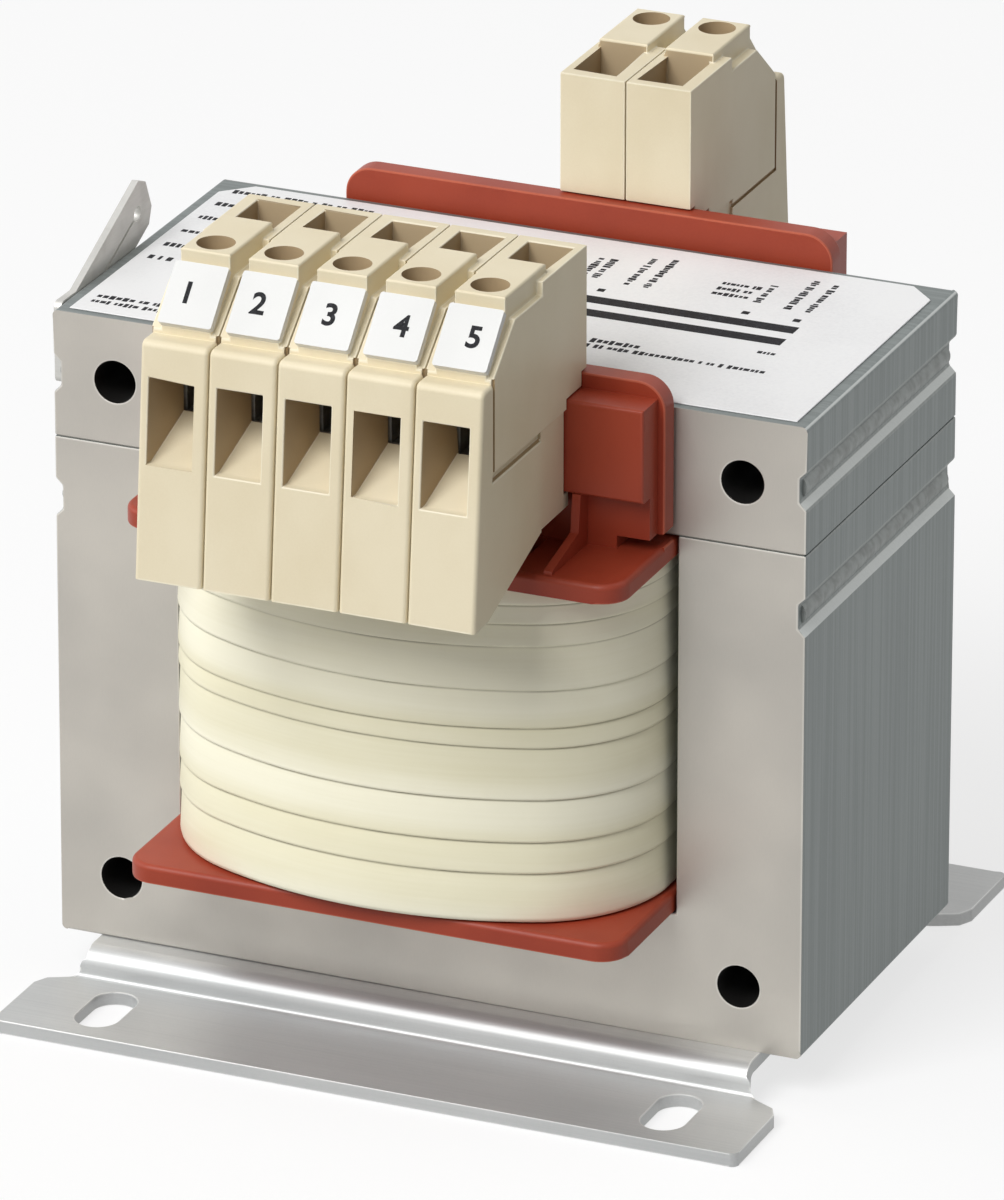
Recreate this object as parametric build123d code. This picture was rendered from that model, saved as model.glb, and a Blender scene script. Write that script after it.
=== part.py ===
from build123d import *
import math
import os

# Panel-mount control transformer. Millimetres, X across the front, Y to the back, Z up.
# The origin is the middle of the four foot slots, on the plane that the feet stand on.

# Core: E laminations closed by I laminations, stacked along Y
centre_limb_width = 28.0
window_width = 14.0
outer_limb_width = 14.0
yoke_height = 14.0
window_height = 42.0
bar_height = 14.0
stack_depth = 42.0
core_corner_radius = 0.6
seam_chamfer = 0.18
core_hole_diameter = 4.6
core_hole_inset = 7.0

# Weld grooves along both sides of the stack, and the weld beads in them
groove_mouth = 4.2
groove_floor = 2.6
groove_depth = 0.8
groove_above_seam = 7.0
groove_below_seam = 6.8
bead_width = 2.0
bead_height = 0.45
bead_end_inset = 1.0

# Feet: folded sheet with a joggle, two slots in each foot
foot_sheet = 1.5
foot_step = 3.2
foot_inner_reach = 9.0
foot_step_reach = 4.0
foot_outer_reach = 17.5
foot_upper_bend = 2.2
foot_lower_bend = 0.6
foot_end_overhang = 0.0
foot_shoulder_length = 4.5
foot_shoulder_cut = 3.2
foot_corner_radius = 0.8
slot_width = 4.8
slot_length = 9.0
slot_end_distance = 10.0
slot_reach = 10.6

# Bobbin: tube round the centre limb, two flanges, a terminal rail at each end
limb_clearance = 0.3
tube_wall = 1.5
flange_thickness = 2.1
flange_core_gap = 0.2
flange_side_gap = 0.25
flange_reach = 15.0
flange_corner_radius = 3.0
flange_edge_radius = 0.6
rail_core_gap = 0.5
rail_wall_thickness = 2.5
rail_web_thickness = 4.5
rail_block_thickness = 6.4
rail_web_height = 6.0
rail_block_height = 10.1
rail_lip_height = 1.6
rail_wall_corner_radius = 3.0
rail_end_inset = 0.8
rail_edge_radius = 0.35
rail_end_slot_height = 1.4
rail_end_slot_length = 3.6
gusset_thickness = 0.9
gusset_offset = 19.7
gusset_toe_height = 0.4
gusset_knee_height = 2.0
gusset_knee_reach = 7.4
gusset_toe_reach = 14.3
wire_channel_width = 1.7
wire_channel_depth = 1.7
flange_wire_slot_margin = 0.35

# Coil: primary, insulation, secondary and outer tape, each a closed ring round the tube
coil_end_gap = 0.15
layer_gap = 0.05
coil_start_gap = 0.1
primary_side_build = 4.7
primary_end_build = 6.2
insulation_side_build = 0.5
insulation_end_build = 0.6
secondary_side_build = 4.9
secondary_end_build = 6.8
tape_side_build = 0.7
tape_end_build = 0.9
tape_edge_step = 0.26
tube_corner_radius = 1.2
primary_corner_radius = 7.0
insulation_corner_radius = 7.6
secondary_corner_radius = 14.2
tape_corner_radius = 15.0
crown_radius = 46.0
tape_turn_shares = [5.6, 3.5, 4.7, 5.6, 2.3, 4.2, 4.7, 2.6, 2.1, 1.8]

# Terminals: places on the rail, counted in steps of the pitch from the middle
terminal_pitch = 7.5
terminal_gap = 0.12
front_places = [-2, -1, 0, 1, 2]
rear_places = [0, -1]

# Terminal housing: reaches run outwards from its near face, heights from the rail block's top
near_face_reach = 1.85
housing_depth = 26.4
front_lean = 2.3
rail_fit = 0.15
rim_height = 15.0
rim_length = 11.4
step_drop = 1.5
step_end = 18.4
seat_top_reach = 19.2
seat_top_height = 14.45
seat_foot_reach = 24.0
seat_foot_height = 9.35
cheek_drop = 0.5
ledge_drop = 0.4
ledge_front_drop = 0.5
front_foot_drop = 16.6
front_foot_length = 3.5
back_foot_drop = 11.9
foot_slope_end = 11.9
hook_reach = 1.2
hook_thickness = 1.6
hook_notch_width = 2.0
front_edge_radius = 0.45
front_top_radius = 0.8
block_top_height = 16.0
block_width = 5.5
block_shift = 0.2
block_edge_radius = 0.3
well_near_wall = 1.3
well_length = 7.6
well_width = 4.95
well_shift = 0.3
well_floor = 1.9
funnel_width = 5.05
funnel_height = 9.1
funnel_shift = -0.2
funnel_drop = 4.5
throat_width = 3.6
throat_height = 4.3
throat_drop = 1.0
chamber_width = 5.3
chamber_start = 12.9
chamber_end = 20.3
chamber_height = 7.3
screw_hole_diameter = 4.0
screw_reach = 16.6
side_slit_start = 11.3
side_slit_end = 24.2
side_slit_height = 1.0
side_slit_drop = 2.0
side_slit_depth = 0.6
side_groove_reach = 23.6
side_groove_top = 9.0
side_groove_width = 0.45
side_groove_depth = 0.25
side_rebate_depth = 0.3

# Lift clamp: cage, current bar and screw
cage_width = 5.0
cage_length = 6.4
cage_wall = 0.8
cage_floor = 1.0
cage_roof = 1.8
cage_drop = 2.2
cage_height = 9.0
cage_corner_radius = 0.4
bar_width = 3.2
bar_thickness = 0.9
bar_height_over_rail = 3.7
bar_start = 3.0
bar_end = 19.4
bar_clearance = 0.1
screw_diameter = 2.7
thread_clearance = 0.05
screw_head_diameter = 3.6
screw_head_height = 2.2
screw_shank_length = 4.6
screw_slot_width = 0.8
screw_slot_depth = 1.0

# Number tags on the front terminals
tag_width = 5.9
tag_thickness = 0.8
tag_end_gap = 0.15
tag_corner_radius = 0.3

# Winding ends that rise to the current bars
lead_diameter = 0.9
lead_bend_radius = 1.0
secondary_lead_reach = 10.0
lead_crossing_height = 1.5

# Rating label on the top of the core
label_thickness = 0.15
label_side_margin = 1.5
label_end_margin = 1.0
label_corner_cut = 3.0

# Earth tag: plug tongue on the left side of the core
earth_thickness = 0.8
earth_pad_length = 9.0
earth_pad_height = 9.0
earth_pad_start = 2.0
earth_blade_width = 6.3
earth_blade_length = 19.0
earth_blade_slope = 24.0
earth_blade_tip_cut = 1.4
earth_hole_diameter = 1.7
earth_hole_inset = 3.2
earth_seam_width = 0.35
earth_seam_depth = 0.2
earth_corner_radius = 0.8

# Places that follow from the sizes above
half_depth = stack_depth / 2
core_width = centre_limb_width + 2 * window_width + 2 * outer_limb_width
core_base = foot_step + foot_sheet
foot_length = core_width + 2 * foot_end_overhang
foot_upper_length = foot_length - 2 * foot_shoulder_length
slot_spacing = foot_length - 2 * slot_end_distance
window_base = core_base + yoke_height
window_top = window_base + window_height
core_top = window_top + bar_height
flange_width = centre_limb_width + 2 * window_width - 2 * flange_side_gap
lower_flange_top = window_base + flange_core_gap + flange_thickness
upper_flange_top = window_top - flange_core_gap
upper_flange_base = upper_flange_top - flange_thickness
rail_wall_reach = rail_core_gap + rail_wall_thickness
rail_web_reach = rail_core_gap + rail_web_thickness
rail_block_reach = rail_core_gap + rail_block_thickness
rail_block_base = upper_flange_top + rail_web_height
rail_block_top = rail_block_base + rail_block_height
housing_width = terminal_pitch - terminal_gap
housing_back = rail_block_reach + rail_fit - near_face_reach
lead_reach = rail_block_reach - wire_channel_depth / 2
lead_offset = lead_reach - near_face_reach
bar_base = rail_block_top + bar_height_over_rail
coil_base = lower_flange_top + coil_end_gap
coil_top = upper_flange_base - coil_end_gap


def slab(x_low, x_high, y_low, y_high, z_low, z_high):
    """A block between two corners."""
    size = (x_high - x_low, y_high - y_low, z_high - z_low)
    return Pos(x_low, y_low, z_low) * Box(*size, align=(Align.MIN, Align.MIN, Align.MIN))


def facing_plane(reach):
    """A plane parallel to the core's front face, reach in front of it, looking outwards."""
    return Plane(origin=(0, -half_depth - reach, 0), x_dir=(1, 0, 0), z_dir=(0, -1, 0))


def side_prism(points, width, shift=0.0):
    """A solid from an outline of (reach from the core's front face, height) points."""
    plane = Plane(origin=(shift, -half_depth, 0), x_dir=(0, -1, 0), z_dir=(-1, 0, 0))
    return extrude(plane * make_face(Polyline(*points, close=True)), amount=width / 2, both=True)


def to_back(shape):
    """Turn a front piece round to the back of the core."""
    return Rot(0, 0, 180) * shape


def edges_along(shape, axis, low, high):
    """Straight edges parallel to an axis whose middle lies between two corners."""
    found = []
    for edge in shape.edges().filter_by(axis):
        middle = edge.center()
        inside = all(a <= b <= c for a, b, c in zip(low, middle, high))
        if inside:
            found.append(edge)
    return found


# Core

def groove_outline(side, height):
    """Cross-section of one weld groove, tapered towards its floor."""
    edge = side * core_width / 2
    floor = side * (core_width / 2 - groove_depth)
    corners = [
        (edge, height - groove_mouth / 2),
        (floor, height - groove_floor / 2),
        (floor, height + groove_floor / 2),
        (edge, height + groove_mouth / 2),
    ]
    return make_face(Polyline(*corners, close=True))


def core_holes(height):
    """The two bolt holes at one height of the lamination."""
    spread = core_width / 2 - core_hole_inset
    hole = Circle(core_hole_diameter / 2)
    return Pos(-spread, height) * hole + Pos(spread, height) * hole


def stack(sketch):
    """Laminations of one outline, piled over the depth of the core."""
    return extrude(facing_plane(-stack_depth) * sketch, amount=stack_depth)


def e_lamination_stack():
    """E laminations: a yoke below and three limbs, open at the top."""
    outline = Pos(0, core_base) * Rectangle(
        core_width, yoke_height + window_height, align=(Align.CENTER, Align.MIN)
    )
    outline = fillet(outline.vertices().group_by(Axis.Y)[0], core_corner_radius)
    for side in (-1, 1):
        middle = side * (centre_limb_width + window_width) / 2
        window = Rectangle(window_width, window_height, align=(Align.CENTER, Align.MIN))
        outline -= Pos(middle, window_base) * window
        outline -= groove_outline(side, window_top - groove_below_seam)
    outline -= core_holes(core_base + core_hole_inset)
    return stack(outline)


def i_lamination_stack():
    """I laminations that close the E, with a fine chamfer along the seam."""
    outline = Pos(0, window_top) * Rectangle(core_width, bar_height, align=(Align.CENTER, Align.MIN))
    outline = fillet(outline.vertices().group_by(Axis.Y)[-1], core_corner_radius)
    for side in (-1, 1):
        outline -= groove_outline(side, window_top + groove_above_seam)
    outline -= core_holes(core_top - core_hole_inset)
    bar = stack(outline)
    return chamfer(bar.faces().sort_by(Axis.Z)[0].outer_wire().edges(), seam_chamfer)


def core_weld_beads():
    """Four low weld beads lying in the grooves."""
    beads = []
    for side in (-1, 1):
        floor = side * (core_width / 2 - groove_depth)
        crest = floor + side * bead_height
        for height in (window_top - groove_below_seam, window_top + groove_above_seam):
            low = (floor, height - bead_width / 2)
            high = (floor, height + bead_width / 2)
            section = make_face(ThreePointArc(low, (crest, height), high) + Line(high, low))
            place = facing_plane(bead_end_inset - stack_depth)
            beads.append(extrude(place * section, amount=stack_depth - 2 * bead_end_inset))
    return Compound(children=beads)


# Feet

def foot_section():
    """Joggled sheet: flange under the core, step down, flange on the panel."""
    lower_outer_bend = foot_lower_bend + foot_sheet
    inner_bend = max(foot_upper_bend - foot_sheet, foot_lower_bend)
    top = core_base
    step = foot_step_reach
    upper = FilletPolyline(
        (-foot_inner_reach, top),
        (step, top),
        (step, foot_sheet),
        (foot_outer_reach, foot_sheet),
        radius=[foot_upper_bend, foot_lower_bend],
    )
    lower = FilletPolyline(
        (-foot_inner_reach, top - foot_sheet),
        (step - foot_sheet, top - foot_sheet),
        (step - foot_sheet, 0),
        (foot_outer_reach, 0),
        radius=[inner_bend, lower_outer_bend],
    )
    ends = Line(upper @ 0, lower @ 0) + Line(upper @ 1, lower @ 1)
    return make_face(upper + lower + ends)


def foot_shoulder(side):
    """Waste cut from one end of the foot, so that the upper flange and step are shorter."""
    end = side * foot_length / 2
    neck = side * foot_upper_length / 2
    near = -half_depth - foot_step_reach
    corners = [
        (end + side, -half_depth + foot_inner_reach + 1),
        (neck, -half_depth + foot_inner_reach + 1),
        (neck, near + foot_lower_bend / 2),
        (end - side * foot_corner_radius, near - foot_shoulder_cut / 2),
        (end, near - foot_shoulder_cut),
        (end + side, near - foot_shoulder_cut),
    ]
    waste = make_face(Polyline(*corners, close=True))
    return extrude(waste, amount=core_base + 1)


def mounting_foot():
    """One foot, with two slots that run front to back."""
    plane = Plane(origin=(0, -half_depth, 0), x_dir=(0, -1, 0), z_dir=(-1, 0, 0))
    foot = extrude(plane * foot_section(), amount=foot_length / 2, both=True)
    for side in (-1, 1):
        foot -= foot_shoulder(side)
        slot = Rot(0, 0, 90) * SlotOverall(slot_length, slot_width)
        place = Pos(side * slot_spacing / 2, -half_depth - slot_reach, 0)
        foot -= extrude(place * slot, amount=core_base)
    outer = -half_depth - foot_outer_reach
    reach = (foot_length, outer + foot_corner_radius, foot_sheet)
    corners = edges_along(foot, Axis.Z, (-foot_length, outer - 1, 0), reach)
    return fillet(corners, foot_corner_radius)


# Bobbin

def flange(base):
    """A rounded plate round the limb; the limb's hole is cut later."""
    length = stack_depth + 2 * flange_reach
    plate = Pos(0, 0, base) * RectangleRounded(flange_width, length, flange_corner_radius)
    plate = extrude(plate, amount=flange_thickness)
    return fillet(plate.faces().sort_by(Axis.Z)[-1].edges(), flange_edge_radius)


def rail_wall():
    """Tall wall just off the core face, with rounded top corners and a slot under each end."""
    height = rail_web_height + rail_block_height + rail_lip_height
    base = upper_flange_top - flange_thickness / 2
    full = height + flange_thickness / 2
    outline = Pos(0, base) * Rectangle(flange_width, full, align=(Align.CENTER, Align.MIN))
    outline = fillet(outline.vertices().group_by(Axis.Y)[-1], rail_wall_corner_radius)
    return extrude(facing_plane(rail_core_gap) * outline, amount=rail_wall_thickness)


def rail_block():
    """Thick bar that the terminals hook over, on a thinner web."""
    half = flange_width / 2 - rail_end_inset
    y_back = -half_depth - rail_core_gap
    y_web = -half_depth - rail_web_reach
    y_block = -half_depth - rail_block_reach
    web = slab(-half, half, y_web, y_back, upper_flange_top - flange_thickness / 2, rail_block_base)
    bar = slab(-half, half, y_block, y_back, rail_block_base, rail_block_top)
    bar = fillet(bar.faces().sort_by(Axis.Y)[0].edges(), rail_edge_radius)
    return web + bar


def rail_end_slots():
    """Low slots that part the rail's ends from the flange."""
    half = flange_width / 2
    inner = half - rail_end_inset - rail_end_slot_length
    y_front = -half_depth - rail_web_reach
    slots = []
    for side in (-1, 1):
        x_low, x_high = sorted((side * inner, side * (half + rail_end_inset)))
        z_high = upper_flange_top + rail_end_slot_height
        slots.append(slab(x_low, x_high, y_front, -half_depth, upper_flange_top, z_high))
    return slots


def gusset():
    """Thin rib from under the rail block, falling in two slopes to the flange's edge."""
    base = upper_flange_top - flange_thickness / 2
    points = [
        (rail_wall_reach, base),
        (gusset_toe_reach, base),
        (gusset_toe_reach, upper_flange_top + gusset_toe_height),
        (gusset_knee_reach, upper_flange_top + gusset_knee_height),
        (rail_block_reach, rail_block_base),
        (rail_wall_reach, rail_block_base),
    ]
    return side_prism(points, gusset_thickness)


def wire_channels(places, start_reach):
    """Cuts for the winding ends: a slot in the flange and a channel up the rail block."""
    x_half = wire_channel_width / 2
    cuts = []
    for place in places:
        x = place * terminal_pitch
        slot_end = max(start_reach, lead_reach) + lead_diameter / 2 + flange_wire_slot_margin
        y_back = -half_depth - rail_block_reach + wire_channel_depth
        y_front = -half_depth - rail_block_reach
        z_low = rail_block_base - rail_web_height
        channel = slab(x - x_half, x + x_half, y_front, y_back, z_low, rail_block_top)
        hole = slab(x - x_half, x + x_half, -half_depth - slot_end, y_back, upper_flange_base, z_low)
        cuts += [channel, hole]
    return cuts


def winding_bobbin():
    """One moulding: tube, flanges, and a terminal rail over each end of the upper flange."""
    rail = rail_wall() + rail_block()
    for side in (-1, 1):
        rail += Pos(side * gusset_offset, 0, 0) * gusset()
    front = rail - rail_end_slots() - wire_channels(front_places, secondary_lead_reach)
    back = rail - rail_end_slots() - wire_channels(rear_places, lead_reach)
    outer_x = centre_limb_width + 2 * (limb_clearance + tube_wall)
    outer_y = stack_depth + 2 * (limb_clearance + tube_wall)
    low = window_base + flange_core_gap
    tube = RectangleRounded(outer_x, outer_y, tube_corner_radius)
    body = extrude(Pos(0, 0, low) * tube, amount=upper_flange_top - low)
    body += flange(low)
    body += flange(upper_flange_base)
    hole_x = centre_limb_width + 2 * limb_clearance
    hole_y = stack_depth + 2 * limb_clearance
    hole = Rectangle(hole_x, hole_y)
    body -= extrude(Pos(0, 0, low) * hole, amount=window_height)
    body -= wire_channels(front_places, secondary_lead_reach)
    body -= [to_back(cut) for cut in wire_channels(rear_places, lead_reach)]
    return body + front + to_back(back)


# Coil

def ring_outline(side_reach, end_reach, corner, crown):
    """Outline of a coil layer: straight sides, round corners and slightly crowned ends."""
    half_x = centre_limb_width / 2 + side_reach
    half_y = half_depth + end_reach
    crown_y = half_y - crown
    lean = half_x - corner
    corner_y = crown_y + math.sqrt((crown - corner) ** 2 - lean**2)
    tangent = math.atan2(corner_y - crown_y, lean)
    top_x = lean + corner * math.cos(tangent)
    top_y = corner_y + corner * math.sin(tangent)
    mid_x = lean + corner * math.cos(tangent / 2)
    mid_y = corner_y + corner * math.sin(tangent / 2)
    edges = []
    for end in (1, -1):
        edges.append(ThreePointArc((-top_x, end * top_y), (0, end * half_y), (top_x, end * top_y)))
        for side in (1, -1):
            start = (side * top_x, end * top_y)
            middle = (side * mid_x, end * mid_y)
            edges.append(ThreePointArc(start, middle, (side * half_x, end * corner_y)))
    for side in (1, -1):
        edges.append(Line((side * half_x, -corner_y), (side * half_x, corner_y)))
    return make_face(Curve(children=edges))


def tube_outline():
    """Outline of the bobbin's tube, with the small gap that the first layer leaves."""
    grow = 2 * (limb_clearance + tube_wall + coil_start_gap)
    radius = tube_corner_radius + coil_start_gap
    return RectangleRounded(centre_limb_width + grow, stack_depth + grow, radius)


def layer_outline(side_build, end_build, corner, grow=0.0):
    """Outline at a build of winding over the tube."""
    start = limb_clearance + tube_wall + coil_start_gap + grow
    return ring_outline(start + side_build, start + end_build, corner + grow, crown_radius)


def coil_builds():
    """Running builds and corners, from the tube outwards, one for each layer."""
    sides = [primary_side_build, insulation_side_build, secondary_side_build, tape_side_build]
    ends = [primary_end_build, insulation_end_build, secondary_end_build, tape_end_build]
    corners = [
        primary_corner_radius,
        insulation_corner_radius,
        secondary_corner_radius,
        tape_corner_radius,
    ]
    builds = []
    for index, corner in enumerate(corners):
        builds.append((sum(sides[: index + 1]), sum(ends[: index + 1]), corner))
    return builds


def coil_layer(index):
    """A closed ring between two neighbouring outlines, over the height of the coil."""
    builds = coil_builds()
    outer = layer_outline(*builds[index])
    if index == 0:
        inner = tube_outline()
    else:
        inner = layer_outline(*builds[index - 1], grow=layer_gap)
    return extrude(Pos(0, 0, coil_base) * (outer - inner), amount=coil_top - coil_base)


def outer_tape_wrap():
    """Tape turns that overlap like shingles, each lower edge proud of the turn below."""
    builds = coil_builds()
    snug = layer_outline(*builds[-1])
    proud = layer_outline(*builds[-1], grow=tape_edge_step)
    share_height = (coil_top - coil_base) / sum(tape_turn_shares)
    height = coil_base
    wrap = None
    for share in tape_turn_shares:
        turn = share * share_height
        cone = loft([Pos(0, 0, height) * proud, Pos(0, 0, height + turn) * snug], ruled=True)
        wrap = cone if wrap is None else wrap + cone
        height += turn
    inner = layer_outline(*builds[-2], grow=layer_gap)
    return wrap - extrude(Pos(0, 0, coil_base) * inner, amount=coil_top - coil_base)


# Terminals, all built at the middle place of the front rail

def at_terminal(points):
    """Shift (reach from the near face, height over the rail block) points to the core's frame."""
    return [(near_face_reach + reach, rail_block_top + height) for reach, height in points]


def terminal_slab(width, shift, reach_low, reach_high, low, high):
    """A block in a terminal, by width, reaches from the near face and heights over the rail."""
    y_near = -half_depth - near_face_reach
    x_low = shift - width / 2
    return slab(
        x_low,
        x_low + width,
        y_near - reach_high,
        y_near - reach_low,
        rail_block_top + low,
        rail_block_top + high,
    )


def housing_outline():
    """Side view of the housing: rim, step, sloped tag seat, front, sloped underside and hook."""
    seat_drop = seat_foot_height - ledge_drop
    wall_step = rail_wall_reach + rail_fit - near_face_reach
    return [
        (0, rail_lip_height + rail_fit),
        (0, rim_height),
        (rim_length, rim_height),
        (rim_length, rim_height - step_drop),
        (step_end, rim_height - step_drop),
        (seat_foot_reach, seat_foot_height - cheek_drop),
        (seat_foot_reach, seat_drop - cheek_drop),
        (housing_depth, seat_drop - ledge_front_drop),
        (housing_depth + front_lean, -front_foot_drop),
        (housing_depth + front_lean - front_foot_length, -front_foot_drop),
        (foot_slope_end, -back_foot_drop),
        (housing_back - hook_reach, -back_foot_drop),
        (housing_back - hook_reach, -back_foot_drop + hook_thickness),
        (housing_back, -back_foot_drop + hook_thickness),
        (housing_back, rail_fit),
        (wall_step, rail_fit),
        (wall_step, rail_lip_height + rail_fit),
    ]


def screw_block():
    """Raised block over the clamp, with the seat that the number tag lies on."""
    points = [
        (well_near_wall + well_length, well_floor),
        (well_near_wall + well_length, block_top_height),
        (seat_top_reach, block_top_height),
        (seat_top_reach, seat_top_height),
        (seat_foot_reach, seat_foot_height),
        (seat_foot_reach, well_floor),
    ]
    block = side_prism(at_terminal(points), block_width, block_shift)
    rounded = block.faces().sort_by(Axis.Z)[-1].edges()
    return fillet(rounded, block_edge_radius)


def wire_funnel():
    """Tapered wire entry, from the mouth in the leaning front to the throat at the clamp."""
    mouth = Rectangle(funnel_width, funnel_height, align=(Align.CENTER, Align.MIN))
    throat = Rectangle(throat_width, throat_height, align=(Align.CENTER, Align.MIN))
    front = near_face_reach + housing_depth
    mouth_place = facing_plane(front) * Pos(funnel_shift, rail_block_top - funnel_drop)
    throat_place = facing_plane(near_face_reach + chamber_end) * Pos(0, rail_block_top - throat_drop)
    taper = loft([throat_place * throat, mouth_place * mouth])
    return taper + extrude(mouth_place * mouth, amount=front_lean)


def side_grooves(side):
    """Fine outline grooves on one flank: a bent line and the rebate behind it."""
    face = side * housing_width / 2
    reach = side_groove_reach
    width = side_groove_width
    deep = 2 * side_groove_depth
    upright = terminal_slab(deep, face, reach, reach + width, -side_slit_drop, side_groove_top)
    sill = terminal_slab(deep, face, side_slit_start, reach, -side_slit_drop, width - side_slit_drop)
    low = -back_foot_drop
    high = side_slit_height - side_slit_drop
    end = side_slit_start + side_groove_width
    rebate = terminal_slab(2 * side_rebate_depth, face, 0, end, low, high)
    return [upright, sill, rebate]


def terminal_housing():
    """Moulded body with wire funnel, wire well, screw hole and a chamber open underneath."""
    body = side_prism(at_terminal(housing_outline()), housing_width)
    brow = body.faces().sort_by(Axis.Y)[0].edges().sort_by(Axis.Z)[-1]
    body = fillet(brow, front_top_radius)
    front = body.faces().sort_by(Axis.Y)[0]
    body = fillet(front.edges().filter_by(Axis.X, reverse=True), front_edge_radius)
    body += screw_block()
    well_end = well_near_wall + well_length
    tunnel = bar_height_over_rail - bar_clearance
    tunnel_top = bar_height_over_rail + bar_thickness + bar_clearance
    tunnel_width = bar_width + 2 * bar_clearance
    lead_hole = wire_channel_width / 2
    cuts = [
        terminal_slab(well_width, well_shift, well_near_wall, well_end, well_floor, block_top_height),
        terminal_slab(
            chamber_width, 0, chamber_start, chamber_end, -front_foot_drop, chamber_height
        ),
        terminal_slab(tunnel_width, 0, well_near_wall, chamber_start, tunnel, tunnel_top),
        terminal_slab(
            wire_channel_width, 0, lead_offset - lead_hole, lead_offset + lead_hole, 0, well_floor
        ),
        terminal_slab(
            hook_notch_width, 0, 0, housing_back, -back_foot_drop, -back_foot_drop + hook_thickness
        ),
        terminal_slab(
            2 * side_slit_depth,
            housing_width / 2,
            side_slit_start,
            side_slit_end,
            -side_slit_drop,
            side_slit_height - side_slit_drop,
        ),
        wire_funnel(),
    ]
    screw_y = -half_depth - near_face_reach - screw_reach
    driver_place = Pos(block_shift, screw_y, rail_block_top + chamber_height)
    driver_depth = block_top_height - chamber_height
    driver_hole = Cylinder(
        screw_hole_diameter / 2, driver_depth, align=(Align.CENTER, Align.CENTER, Align.MIN)
    )
    cuts.append(driver_place * driver_hole)
    for side in (-1, 1):
        cuts += side_grooves(side)
    return body - cuts


def clamp_cage():
    """Bent steel frame that lifts the wire against the current bar."""
    start = screw_reach - cage_length / 2
    end = screw_reach + cage_length / 2
    top = cage_height - cage_drop
    frame = terminal_slab(cage_width, 0, start, end, -cage_drop, top)
    frame = fillet(frame.edges().filter_by(Axis.Y), cage_corner_radius)
    opening = cage_width - 2 * cage_wall
    frame -= terminal_slab(opening, 0, start, end, cage_floor - cage_drop, top - cage_roof)
    place = Pos(block_shift, -half_depth - near_face_reach - screw_reach, rail_block_top + top)
    hole = Cylinder(
        screw_diameter / 2 + thread_clearance,
        cage_roof,
        align=(Align.CENTER, Align.CENTER, Align.MAX),
    )
    return frame - place * hole


def current_bar():
    """Flat bar from the well to the clamp."""
    top = bar_height_over_rail + bar_thickness
    return terminal_slab(bar_width, 0, bar_start, bar_end, bar_height_over_rail, top)


def clamp_screw():
    """Slotted cheese-head screw whose end bears on the current bar."""
    up = (Align.CENTER, Align.CENTER, Align.MIN)
    base = bar_base + bar_thickness
    place = Pos(block_shift, -half_depth - near_face_reach - screw_reach, base)
    shank = Cylinder(screw_diameter / 2, screw_shank_length, align=up)
    head = Pos(0, 0, screw_shank_length) * Cylinder(screw_head_diameter / 2, screw_head_height, align=up)
    slot_base = screw_shank_length + screw_head_height - screw_slot_depth
    slot = Pos(0, 0, slot_base) * Box(screw_head_diameter, screw_slot_width, screw_slot_depth, align=up)
    return place * (shank + head - slot)


def number_tag():
    """Flat plate on the sloped seat."""
    run = seat_foot_reach - seat_top_reach
    fall = seat_top_height - seat_foot_height
    slope_length = math.hypot(run, fall)
    out = fall / slope_length
    up = run / slope_length
    along = (run / slope_length, -fall / slope_length)
    length = slope_length - tag_end_gap
    top = (seat_top_reach + along[0] * tag_end_gap, seat_top_height + along[1] * tag_end_gap)
    foot = (top[0] + along[0] * length, top[1] + along[1] * length)
    points = [
        top,
        foot,
        (foot[0] + out * tag_thickness, foot[1] + up * tag_thickness),
        (top[0] + out * tag_thickness, top[1] + up * tag_thickness),
    ]
    plate = side_prism(at_terminal(points), tag_width, block_shift)
    short = plate.edges().filter_by(lambda edge: abs(edge.length - tag_thickness) < tag_end_gap)
    return fillet(short, tag_corner_radius)


def lead_wire(start_reach):
    """Winding end: up through the flange, back to the rail channel, then up to the current bar."""
    crossing = upper_flange_top + lead_crossing_height
    points = [(start_reach, coil_top)]
    if start_reach > lead_reach:
        points += [(start_reach, crossing), (lead_reach, crossing)]
    points.append((lead_reach, bar_base))
    plane = Plane(origin=(0, -half_depth, 0), x_dir=(0, -1, 0), z_dir=(-1, 0, 0))
    if len(points) > 2:
        path = plane * FilletPolyline(*points, radius=lead_bend_radius)
    else:
        path = plane * Line(*points)
    section = Plane(origin=path @ 0, z_dir=path % 0) * Circle(lead_diameter / 2)
    return sweep(section, path=path)


# Label and earth tag

def rating_label():
    """Thin sheet on the core's top, with its two back corners cut off."""
    half_x = core_width / 2 - label_side_margin
    half_y = half_depth - label_end_margin
    sheet = slab(-half_x, half_x, -half_y, half_y, core_top, core_top + label_thickness)
    low = (-half_x - 1, 0, core_top)
    high = (half_x + 1, half_y + 1, core_top + label_thickness)
    return chamfer(edges_along(sheet, Axis.Z, low, high), label_corner_cut)


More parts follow.
